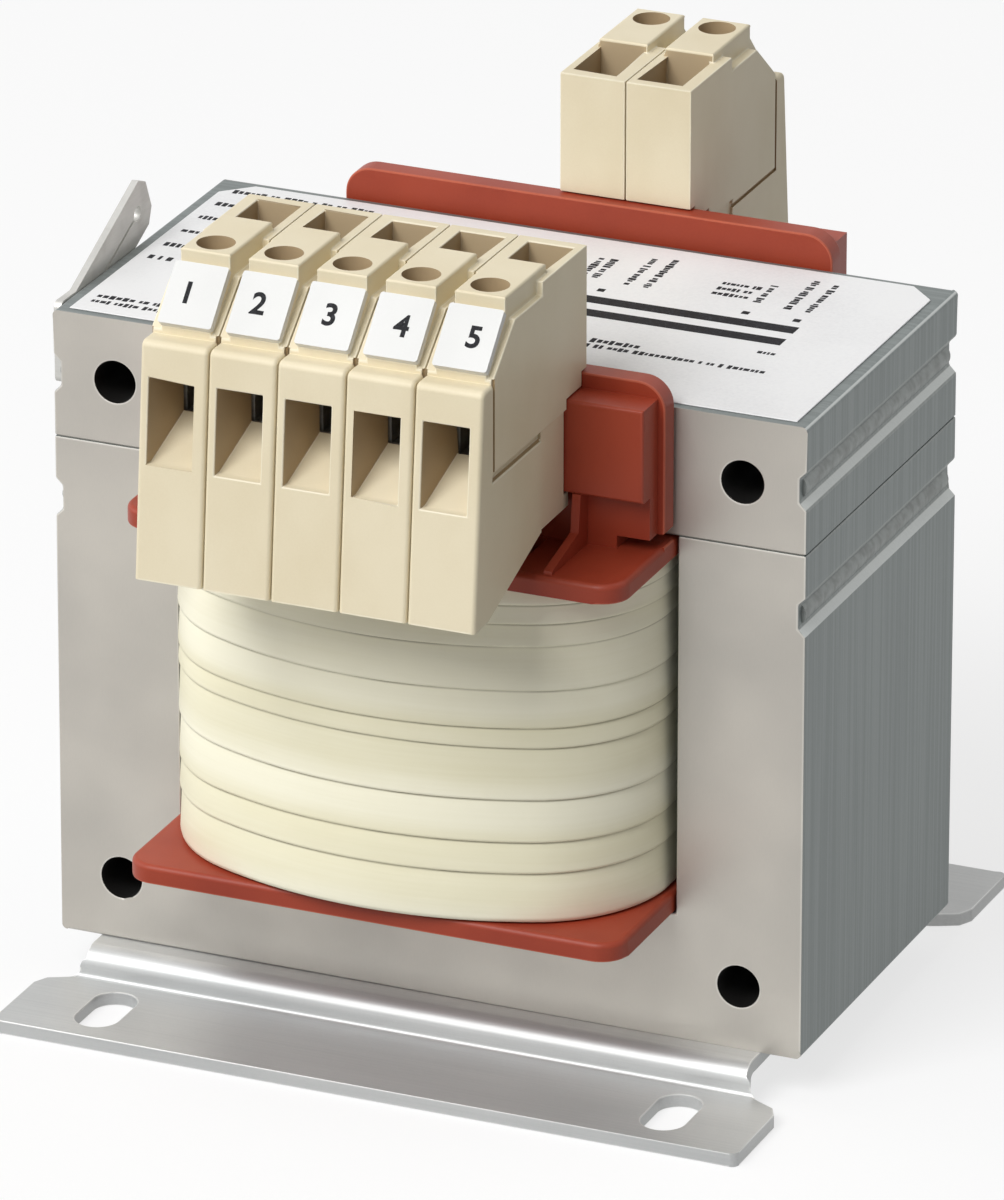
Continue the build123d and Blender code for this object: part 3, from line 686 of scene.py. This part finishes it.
@dataclass(frozen=True)
class EdgeBreak:
    """The small radius that tooling leaves on every sharp edge.

    An edge is rounded where its faces are at least room times as wide as the radius, and no seam
    meets it at less than the grazing angle. With outer_only, inner corners stay sharp. With a
    cavity_reach, faces that look at another wall from that close are marked for painted shade.
    """

    width: float = 0.16 * MM
    segments: int = 2
    outer_only: bool = False
    cavity_reach: float = 0.0
    cavity_fade: float = 0.5
    sharp_angle: float = math.radians(38)
    flat_angle: float = math.radians(20)
    grazing_angle: float = math.radians(20)
    shortest: float = 0.3 * MM
    room: float = 2.2

    def apply(self, mesh: bmesh.types.BMesh) -> None:
        """Round the sharp edges that have room for it, and mark the new faces, which most finishes
        lighten partly as wearing and partly as painted highlight.

        Args:
            mesh: The mesh to round.
        """
        wear_and_highlight = mesh.faces.layers.float.new(EDGE_MARK)
        sharp = {edge for edge in mesh.edges if self.is_sharp(edge)}
        sharp = {edge for edge in sharp if edge.calc_length() > self.shortest}
        chosen = [edge for edge in mesh.edges if edge in sharp and self.can_round(edge, sharp)]
        rounded = bmesh.ops.bevel(
            mesh,
            geom=chosen,
            offset=self.width,
            offset_type="OFFSET",
            segments=self.segments,
            profile=0.5,
            affect="EDGES",
            clamp_overlap=False,
            material=-1,
        )
        for face in rounded["faces"]:
            face[wear_and_highlight] = 1.0
        for face in mesh.faces:
            face.smooth = True
        for edge in mesh.edges:
            edge.smooth = not self.is_sharp(edge)

    def is_sharp(self, edge: bmesh.types.BMEdge) -> bool:
        """True where two faces meet at more than the sharp angle."""
        return len(edge.link_faces) == 2 and edge.calc_face_angle(0.0) > self.sharp_angle

    def mark_cavities(self, mesh: bmesh.types.BMesh) -> None:
        """Mark the faces that look at another wall of the same piece from close by, for painted
        shade.

        Args:
            mesh: The rounded mesh.
        """
        mark = mesh.faces.layers.float.new(CAVITY_SHADE_MARK)
        mesh.normal_update()
        walls = BVHTree.FromBMesh(mesh)
        for face in mesh.faces:
            start = face.calc_center_median() + face.normal * self.width
            point, _, _, distance = walls.ray_cast(start, face.normal, self.cavity_reach)
            if point is not None:
                face[mark] = 1.0 - self.cavity_fade * distance / self.cavity_reach

    def can_round(self, edge: bmesh.types.BMEdge, sharp: set[bmesh.types.BMEdge]) -> bool:
        """True where an edge's faces are wide enough and no seam of a flat face grazes it.

        Args:
            edge: A sharp edge.
            sharp: All the sharp edges.

        Returns:
            Whether the edge can be rounded cleanly.
        """
        least_area = self.room * self.width * edge.calc_length()
        if any(face.calc_area() < least_area for face in edge.link_faces):
            return False
        if any(self.is_grazed(vert, sharp) for vert in edge.verts):
            return False
        met = [other for vert in edge.verts for other in vert.link_edges if other in sharp]
        return not self.outer_only or all(other.is_convex for other in met)

    def is_grazed(self, vert: bmesh.types.BMVert, sharp: set[bmesh.types.BMEdge]) -> bool:
        """Look for a nearly flat edge that leaves a point close to the line of a sharp one.

        Args:
            vert: The point.
            sharp: All the sharp edges.

        Returns:
            Whether there is one.
        """
        corner_rays = []
        flat_rays = []
        for edge in vert.link_edges:
            ray = edge.other_vert(vert).co - vert.co
            if edge in sharp:
                corner_rays.append(ray)
            elif edge.calc_face_angle(0.0) < self.flat_angle:
                flat_rays.append(ray)
        return any(ray.angle(flat) < self.grazing_angle for ray in corner_rays for flat in flat_rays)

    def soften(self, node: str, stock: Stock, slot: str) -> bpy.types.Object:
        """Stand a softened copy in for a CAD node.

        Args:
            node: The CAD node.
            stock: The piece's finish.
            slot: The record's material slot, which is not used.

        Returns:
            The softened piece.
        """
        mesh = merged_mesh(node)
        self.apply(mesh)
        if self.cavity_reach:
            self.mark_cavities(mesh)
        piece = finished_piece(f"{node}_edged", mesh, stock, (node,))
        normals = piece.modifiers.new("face_weighted_normals", "WEIGHTED_NORMAL")
        normals.keep_sharp = True
        return piece


# Sub-assemblies

@dataclass
class Core:
    """Lamination stacks, with the weld beads in their grooves."""

    edges: EdgeBreak = EdgeBreak(width=0.22 * MM)

    def build(self) -> None:
        """Soften both stacks and dress the beads."""
        self.edges.soften("e_lamination_stack", Stock.LAMINATION, "core_steel")
        self.edges.soften("i_lamination_stack", Stock.LAMINATION, "core_steel")
        dress(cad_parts["core_weld_beads"], Stock.WELD)


@dataclass
class MountingFeet:
    """The two folded feet."""

    edges: EdgeBreak = EdgeBreak(width=0.14 * MM, grazing_angle=0.0)

    def build(self) -> None:
        """Soften both feet."""
        for place in ("front", "rear"):
            self.edges.soften(f"{place}_mounting_foot", Stock.FOOT, "foot_steel")


@dataclass
class Bobbin:
    """The red moulding with its two terminal rails."""

    edges: EdgeBreak = EdgeBreak(width=0.2 * MM, outer_only=True)

    def build(self) -> None:
        """Soften the moulding."""
        self.edges.soften("winding_bobbin", Stock.BOBBIN, "bobbin_plastic")


@dataclass(frozen=True)
class TapeRow:
    """A row of the wrap's points.

    The height and the inset from the outline place it, the tone and shade colour it, and the
    phase and tilt make it wander up and down.
    """

    height: float
    inset: float
    tone: float
    shade: float = 0.0
    phase: float = 0.0
    tilt: float = 0.0


@dataclass
class TapeWrap:
    """The outer tape: turns laid like shingles, each with a slightly wavy lower edge."""

    node: str = "outer_tape_wrap"
    corner_radius: float = 15.26 * MM
    crown_radius: float = 46.0 * MM
    lip: float = 0.26 * MM
    lip_round: float = 0.07 * MM
    lip_height: float = 0.3 * MM
    roll_in: float = 0.35 * MM
    roll_end: float = 0.1 * MM
    wall: float = 0.6 * MM
    wave: float = 0.22 * MM
    least_wave: float = 0.35
    middle_share: float = 0.45
    middle_inset: float = 0.35
    near_inset: float = 0.8
    least_tone: float = 0.1
    ripple_share: float = 0.3
    ripples: int = 3
    hidden_tone: float = 0.5
    foot_tone: float = 0.9
    crease_angle: float = math.radians(50)
    corner_steps: int = 16
    crown_steps: int = 20
    side_steps: int = 10
    turn_shares: tuple[float, ...] = (5.6, 3.5, 4.7, 5.6, 2.3, 4.2, 4.7, 2.6, 2.1, 1.8)
    seed: int = 4

    def outline(self) -> list[tuple[Vector, Vector]]:
        """Walk once round the coil's outline.

        Returns:
            For each station, a point on the outer outline and the direction that faces outwards.
        """
        _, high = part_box(self.node)
        lean = high.x - self.corner_radius
        crown_y = high.y - self.crown_radius
        rise = math.sqrt((self.crown_radius - self.corner_radius) ** 2 - lean**2)
        corner_y = crown_y + rise
        tangent = math.atan2(rise, lean)
        quarter = []
        for step in range(self.side_steps):
            centre = Vector((lean, corner_y * step / self.side_steps))
            quarter.append(self.station(centre, 0.0, self.corner_radius))
        for step in range(self.corner_steps):
            turn = tangent * step / self.corner_steps
            quarter.append(self.station(Vector((lean, corner_y)), turn, self.corner_radius))
        for step in range(self.crown_steps + 1):
            turn = tangent + (math.pi / 2 - tangent) * step / self.crown_steps
            quarter.append(self.station(Vector((0.0, crown_y)), turn, self.crown_radius))
        half = quarter + [self.mirrored(spot, -1, 1) for spot in reversed(quarter[1:-1])]
        left = self.mirrored(half[0], -1, 1)
        return half + [left] + [self.mirrored(spot, -1, -1) for spot in half[1:]]

    def station(self, centre: Vector, turn: float, radius: float) -> tuple[Vector, Vector]:
        """The point and outward direction on an arc."""
        outward = Vector((math.cos(turn), math.sin(turn)))
        return centre + outward * radius, outward

    def mirrored(self, spot: tuple[Vector, Vector], x: int, y: int) -> tuple[Vector, Vector]:
        """The same station on another side of the coil."""
        flip = Vector((x, y))
        return spot[0] * flip, spot[1] * flip

    def edge_rise(self, row: TapeRow, share: float) -> float:
        """Work out how far a tape edge wanders from its height.

        Args:
            row: The row, with its phase and tilt.
            share: Share of the way round the coil.

        Returns:
            The rise, which is negative where the edge hangs down.
        """
        turn = 2 * math.pi * share
        ripple = math.sin(self.ripples * turn + 2 * row.phase)
        return row.tilt * math.sin(turn + row.phase) + self.ripple_share * row.tilt * ripple

    def rows(self) -> list[TapeRow]:
        """Lay out the wrap's rows of points.

        Returns:
            The rows, from the wrap's foot upwards.
        """
        low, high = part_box(self.node)
        height = high.z - low.z
        unit = height / sum(self.turn_shares)
        dice = random.Random(self.seed)
        rows = [
            TapeRow(low.z, self.wall, self.hidden_tone),
            TapeRow(low.z, self.roll_in, self.foot_tone),
            TapeRow(low.z + self.lip_height / 2, self.roll_end, self.foot_tone),
            TapeRow(low.z + 2 * self.lip_height, 0.0, self.foot_tone),
        ]
        under_edge = (
            (-self.lip_height, self.near_inset * self.lip, 0.0),
            (-self.lip_round, self.lip, 1.0),
        )
        over_edge = (
            (0.0, self.lip, 1.0),
            (0.0, self.lip_round, 0.0),
            (self.lip_round, 0.0, 0.0),
            (self.lip_height, 0.0, 0.0),
        )
        base = low.z
        phase = tilt = 0.0
        for index, share in enumerate(self.turn_shares):
            top = base + share * unit
            tone = dice.uniform(self.least_tone, 1.0)
            last = index == len(self.turn_shares) - 1
            middle = base + self.middle_share * (top - base)
            rows.append(TapeRow(middle, self.middle_inset * self.lip, tone, 0.0, phase, tilt))
            phase = dice.uniform(0.0, 2 * math.pi)
            tilt = 0.0 if last else self.wave * dice.uniform(self.least_wave, 1.0)
            for rise, inset, shade in under_edge if last else under_edge + over_edge:
                rows.append(TapeRow(top + rise, inset, tone, shade, phase, tilt))
            base = top
        rows.append(TapeRow(high.z, self.lip, self.hidden_tone))
        rows.append(TapeRow(high.z, self.wall, self.hidden_tone))
        return rows

    def build(self) -> None:
        """Raise the wrap row by row from its foot, then close its inner wall."""
        stations = self.outline()
        mesh = bmesh.new()
        tone_mark = mesh.verts.layers.float.new(TURN_TONE)
        shade_mark = mesh.verts.layers.float.new(LIP_SHADE)
        ring = [mesh.verts.new((0.0, 0.0, 0.0)) for _ in stations]
        edges = [mesh.edges.new((ring[i - 1], ring[i])) for i in range(len(ring))]
        foot = edges
        for number, row in enumerate(self.rows()):
            if number:
                ring, edges = self.raised(mesh, ring, edges)
            for index, (point, outward) in enumerate(stations):
                spot = point - outward * row.inset
                rise = self.edge_rise(row, index / len(stations))
                ring[index].co = (spot.x, spot.y, row.height + rise)
                ring[index][tone_mark] = row.tone
                ring[index][shade_mark] = row.shade
        bmesh.ops.bridge_loops(mesh, edges=foot + edges)
        bmesh.ops.recalc_face_normals(mesh, faces=mesh.faces)
        for face in mesh.faces:
            face.smooth = True
        for edge in mesh.edges:
            edge.smooth = edge.calc_face_angle(0.0) < self.crease_angle
        finished_piece("coil_tape_turns", mesh, Stock.TAPE, (self.node,))

    def raised(
        self,
        mesh: bmesh.types.BMesh,
        ring: list[bmesh.types.BMVert],
        edges: list[bmesh.types.BMEdge],
    ) -> tuple[list[bmesh.types.BMVert], list[bmesh.types.BMEdge]]:
        """Raise a new row from the last one.

        Args:
            mesh: The wrap's mesh.
            ring: The last row's points.
            edges: The last row's edges.

        Returns:
            The new row's points, in the same order, and its edges.
        """
        made = bmesh.ops.extrude_edge_only(mesh, edges=edges)["geom"]
        below = set(ring)
        new_edges = [item for item in made if isinstance(item, bmesh.types.BMEdge)]
        new_edges = [edge for edge in new_edges if below.isdisjoint(edge.verts)]
        above = {}
        for vert in {vert for edge in new_edges for vert in edge.verts}:
            others = (edge.other_vert(vert) for edge in vert.link_edges)
            above[next(other for other in others if other in below)] = vert
        return [above[vert] for vert in ring], new_edges


@dataclass
class Coil:
    """Windings and insulation under the tape, and the tape itself."""

    wrap: TapeWrap = field(default_factory=TapeWrap)

    def build(self) -> None:
        """Dress the inner layers and wind the tape."""
        dress(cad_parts["primary_winding"], Stock.WIRE)
        dress(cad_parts["secondary_winding"], Stock.WIRE)
        dress(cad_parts["interwinding_insulation"], Stock.FILM)
        self.wrap.build()


@dataclass
class NumberDigit:
    """A digit printed on a number tag."""

    number: int
    height: float = 2.4 * MM
    thickness: float = 0.02 * MM
    drift: float = 0.32 * MM
    boldness: float = 0.08 * MM
    figure_share: float = 0.73
    middle_number: int = 3
    least_lean: float = 0.3
    plane_depth: float = 0.05 * MM

    def tag_plane(self) -> tuple[Vector, Vector]:
        """Find the tag's upper face.

        Returns:
            The face's middle and the direction that it faces.
        """
        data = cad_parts[f"number_tag_{self.number}"].data
        lean = self.least_lean
        faces = [face for face in data.polygons if min(face.normal.z, -face.normal.y) > lean]
        normal = max(faces, key=lambda face: face.area).normal.copy()
        corners = [data.vertices[i].co for face in faces for i in face.vertices]
        top = max(corner.dot(normal) for corner in corners)
        outer = [corner for corner in corners if corner.dot(normal) > top - self.plane_depth]
        low = Vector(min(corner[axis] for corner in outer) for axis in range(3))
        high = Vector(max(corner[axis] for corner in outer) for axis in range(3))
        return (low + high) / 2, normal

    def build(self) -> None:
        """Turn the digit into a mesh and lay it on the tag."""
        curve = bpy.data.curves.new(f"digit_{self.number}", "FONT")
        curve.body = str(self.number)
        curve.align_x = "CENTER"
        curve.align_y = "CENTER"
        curve.size = self.height / self.figure_share
        curve.extrude = self.thickness / 2
        curve.offset = self.boldness
        text = bpy.data.objects.new(f"digit_{self.number}", curve)
        bpy.context.scene.collection.objects.link(text)
        bpy.context.view_layer.update()
        mesh = bmesh.new()
        mesh.from_mesh(bpy.data.meshes.new_from_object(text))
        bpy.data.objects.remove(text)
        bmesh.ops.remove_doubles(mesh, verts=mesh.verts, dist=SAME_POINT)
        middle, normal = self.tag_plane()
        across = Vector((1.0, 0.0, 0.0))
        turn = Matrix((across, normal.cross(across), normal)).transposed().to_4x4()
        shift = across * (self.number - self.middle_number) * self.drift
        lift = normal * self.thickness / 2
        place = Matrix.Translation(middle + shift + lift) @ turn
        bmesh.ops.transform(mesh, matrix=place, verts=mesh.verts)
        finished_piece(f"tag_digit_{self.number}", mesh, Stock.INK)


@dataclass
class TerminalRow:
    """A row of screw terminals on one of the bobbin's rails."""

    place: str
    count: int
    tags: bool
    edges: EdgeBreak = EdgeBreak(width=0.15 * MM, cavity_reach=14.0 * MM)
    plate_edges: EdgeBreak = EdgeBreak(width=0.08 * MM)

    def build(self) -> None:
        """Soften the housings, dress what they hold, and number the tags."""
        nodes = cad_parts
        for number in range(1, self.count + 1):
            housing = f"{self.place}_terminal_housing_{number}"
            self.edges.soften(housing, Stock.TERMINAL, "terminal_plastic")
            dress(nodes[f"{self.place}_clamp_cage_{number}"], Stock.CLAMP)
            dress(nodes[f"{self.place}_current_bar_{number}"], Stock.BRASS)
            dress(nodes[f"{self.place}_lead_{number}"], Stock.WIRE)
            if self.tags:
                self.plate_edges.soften(f"number_tag_{number}", Stock.TAG, "marker_plastic")
                NumberDigit(number).build()


@dataclass
class ClampScrews:
    """The screws of both terminal rows, which are one node."""

    node: str = "clamp_screws"

    def build(self) -> None:
        """Dress the screws."""
        dress(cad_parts[self.node], Stock.SCREW)


@dataclass
class PrintRow:
    """A row of small marks that stands for a line of small print, in millimetres."""

    x: float
    y: float
    length: float
    size: float = 0.9
    upright: bool = False


@dataclass
class RatingLabel:
    """The white label on the core's top, with plain bars and rows of marks as its print.

    The print's places and sizes are in millimetres: start, end and Y of a bar, X and Y of a dot.
    """

    ink: float = 0.02 * MM
    bars: tuple[tuple[float, float, float], ...] = ((-24.0, 31.0, 3.3), (-24.0, 31.0, -0.3))
    bar_thickness: float = 1.85
    dots: tuple[tuple[float, float], ...] = ((8.1, 6.1), (24.3, 6.0), (30.0, 6.0))
    dot_size: float = 0.8
    mark_widths: tuple[float, float] = (0.28, 0.62)
    mark_heights: tuple[float, ...] = (0.62, 0.7, 0.95)
    mark_gaps: tuple[float, ...] = (0.14, 0.18, 0.18, 0.55)
    edges: EdgeBreak = EdgeBreak(width=0.05 * MM, segments=1)
    seed: int = 11

    def rows(self) -> list[PrintRow]:
        """Lay out the small print.

        Returns:
            The rows, in millimetres on the core's top.
        """
        rows = [PrintRow(12.6, -8.9, 19.5, 1.0), PrintRow(12.6, -7.4, 5.0, 1.2)]
        rows.append(PrintRow(29.6, -3.8, 2.4, 0.9))
        rows += [PrintRow(x, 8.6, 8.4, 0.9, True) for x in (9.8, 12.0, 27.8, 30.1)]
        rows += [PrintRow(x, 9.2, 5.6, 0.9, True) for x in (4.6, 6.0, 24.2)]
        rows += [PrintRow(18.9, y, 3.9, 0.9) for y in (10.0, 11.5, 13.0)]
        rows += [PrintRow(-39.2, y, 2.4, 1.1) for y in (-3.4, 0.6, 4.9, 9.3, 13.6)]
        rows += [PrintRow(-39.2, y, 8.0, 1.0) for y in (-17.4, -15.9)]
        rows.append(PrintRow(-39.0, 17.6, 16.0, 1.1))
        return rows

    def block(self, mesh: bmesh.types.BMesh, x: float, y: float, width: float, depth: float) -> None:
        """Lay one inked block on the label.

        Args:
            mesh: The print's mesh.
            x: Middle across, in millimetres.
            y: Middle front to back, in millimetres.
            width: Size across, in millimetres.
            depth: Size front to back, in millimetres.
        """
        _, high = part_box("rating_label")
        place = Matrix.Translation((x * MM, y * MM, high.z + self.ink / 2))
        size = Matrix.Diagonal((width * MM, depth * MM, self.ink, 1.0))
        bmesh.ops.create_cube(mesh, size=1.0, matrix=place @ size)

    def small_print(self, mesh: bmesh.types.BMesh, row: PrintRow, dice: random.Random) -> None:
        """Fill a row with marks of uneven width, like print too small to read.

        Args:
            mesh: The print's mesh.
            row: The row.
            dice: Source of the uneven widths.
        """
        done = 0.0
        while done < row.length:
            width = row.size * dice.uniform(*self.mark_widths)
            tall = row.size * dice.choice(self.mark_heights)
            near = done + width / 2
            if row.upright:
                self.block(mesh, row.x, row.y + near, tall, width)
            else:
                self.block(mesh, row.x + near, row.y, width, tall)
            done += width + row.size * dice.choice(self.mark_gaps)

    def build(self) -> None:
        """Soften the label and print it."""
        self.edges.soften("rating_label", Stock.LABEL, "label_sheet")
        mesh = bmesh.new()
        for start, end, y in self.bars:
            self.block(mesh, (start + end) / 2, y, end - start, self.bar_thickness)
        for x, y in self.dots:
            self.block(mesh, x, y, self.dot_size, self.dot_size)
        dice = random.Random(self.seed)
        for row in self.rows():
            self.small_print(mesh, row, dice)
        finished_piece("label_print", mesh, Stock.INK)


@dataclass
class EarthTag:
    """The plug tongue beside the core."""

    edges: EdgeBreak = EdgeBreak(width=0.1 * MM)

    def build(self) -> None:
        """Soften the tongue."""
        self.edges.soften("earth_tag", Stock.TAG_METAL, "tag_metal")


# Studio

@dataclass
class SoftLamp:
    """A square soft lamp that looks at the transformer, placed by two angles in degrees."""

    name: str
    azimuth: float
    elevation: float
    level: float
    size: float = 1.0
    distance: float = 1.8
    target: Vector = field(default_factory=lambda: Vector((0.0, 0.0, 0.045)))

    def build(self) -> None:
        """Hang the lamp; level 1 shows a surface that faces it in its own colour."""
        side = math.radians(self.azimuth)
        rise = math.radians(self.elevation)
        outward = Vector(
            (math.sin(side) * math.cos(rise), -math.cos(side) * math.cos(rise), math.sin(rise))
        )
        light = bpy.data.lights.new(self.name, "AREA")
        light.shape = "SQUARE"
        light.size = self.size
        light.energy = self.level * math.pi**2 * self.distance**2
        lamp = bpy.data.objects.new(self.name, light)
        lamp.location = self.target + outward * self.distance
        lamp.rotation_euler = outward.to_track_quat("Z", "Y").to_euler()
        bpy.context.scene.collection.objects.link(lamp)


@dataclass
class Studio:
    """Pale floor, white surroundings, soft lamps and the camera, whose angles are in degrees."""

    floor_radius: float = 3.0
    floor_drop: float = 0.05 * MM
    floor_sides: int = 96
    floor_bounce: float = 0.42
    floor_tone: float = 0.92
    floor_glow: float = 0.72
    surroundings: float = 0.25
    yaw: float = 23.24
    pitch: float = 22.57
    camera_distance: float = 1.2
    focal_pixels: float = 11535.0
    image_height: int = 1200
    sensor: float = 36.0
    clip: tuple[float, float] = (0.01, 20.0)
    aim: Vector = field(default_factory=lambda: Vector((2.1, -6.0, 43.7)) * MM)
    lamps: tuple[SoftLamp, ...] = (
        SoftLamp("key_lamp", -17.0, 46.0, 0.9),
        SoftLamp("left_lamp", -75.0, 25.0, 0.26, size=1.2),
        SoftLamp("back_lamp", 150.0, 50.0, 0.1, size=1.4),
    )

    def seen_directly(self, graph: Graph) -> Signal:
        """1 where the camera, a mirror or glass looks at a surface."""
        rays = graph.node("ShaderNodeLightPath", output="Is Camera Ray")
        return rays | rays.out("Is Glossy Ray") | rays.out("Is Transmission Ray")

    def build_world(self) -> None:
        """White to look at, dimmer as a light."""
        world = bpy.data.worlds.new("studio_white")
        bpy.context.scene.world = world
        world.use_nodes = True
        graph = Graph(world.node_tree)
        seen = self.seen_directly(graph)
        strength = self.surroundings + seen * (1.0 - self.surroundings)
        glow = graph.node("ShaderNodeBackground", inputs={"Color": WHITE, "Strength": strength})
        graph.node("ShaderNodeOutputWorld", inputs={"Surface": glow})

    def build_floor(self) -> None:
        """A wide pale disc that keeps the transformer's shadow."""
        mesh = bmesh.new()
        bmesh.ops.create_circle(
            mesh, cap_ends=True, radius=self.floor_radius, segments=self.floor_sides
        )
        bmesh.ops.translate(mesh, vec=(0.0, 0.0, -self.floor_drop), verts=mesh.verts)
        data = bpy.data.meshes.new("floor")
        mesh.to_mesh(data)
        mesh.free()
        floor = bpy.data.objects.new("floor", data)
        bpy.context.scene.collection.objects.link(floor)
        material = bpy.data.materials.new("pale_floor")
        material.use_nodes = True
        graph = Graph(material.node_tree)
        seen = self.seen_directly(graph)
        tone = graph.blend(seen, (self.floor_bounce,) * 3, (self.floor_tone,) * 3)
        matt = graph.node("ShaderNodeBsdfDiffuse", inputs={"Color": tone})
        white = graph.node("ShaderNodeEmission", inputs={"Color": WHITE, "Strength": 1.0})
        inputs = {0: seen * self.floor_glow, 1: matt, 2: white}
        mixed = graph.node("ShaderNodeMixShader", inputs=inputs)
        graph.node("ShaderNodeOutputMaterial", inputs={"Surface": mixed})
        data.materials.append(material)

    def build_camera(self) -> None:
        """Stand the camera where the photograph's was, without shift."""
        yaw = math.radians(self.yaw)
        pitch = math.radians(self.pitch)
        ahead = Vector(
            (-math.sin(yaw) * math.cos(pitch), math.cos(yaw) * math.cos(pitch), -math.sin(pitch))
        )
        lens = bpy.data.cameras.new("photo_camera")
        lens.sensor_fit = "VERTICAL"
        lens.sensor_height = self.sensor
        lens.lens = self.focal_pixels / self.image_height * self.sensor
        lens.clip_start, lens.clip_end = self.clip
        camera = bpy.data.objects.new("photo_camera", lens)
        camera.location = self.aim - ahead * self.camera_distance
        camera.rotation_euler = (-ahead).to_track_quat("Z", "Y").to_euler()
        bpy.context.scene.collection.objects.link(camera)
        bpy.context.scene.camera = camera

    def build(self) -> None:
        """Set up the whole studio."""
        bpy.context.scene.view_settings.view_transform = "Standard"
        self.build_world()
        self.build_floor()
        self.build_camera()
        for lamp in self.lamps:
            lamp.build()


def main() -> None:
    """Build the studio and every sub-assembly."""
    logging.basicConfig(level=logging.INFO, format="%(name)s: %(message)s")
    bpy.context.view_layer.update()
    parts = (
        Studio(),
        Core(),
        MountingFeet(),
        Bobbin(),
        Coil(),
        TerminalRow("front", 5, True),
        TerminalRow("rear", 2, False),
        RatingLabel(),
        EarthTag(),
        ClampScrews(),
    )
    for part in parts:
        part.build()
        log.info("%s built", type(part).__name__)


if __name__ == "__main__":
    main()
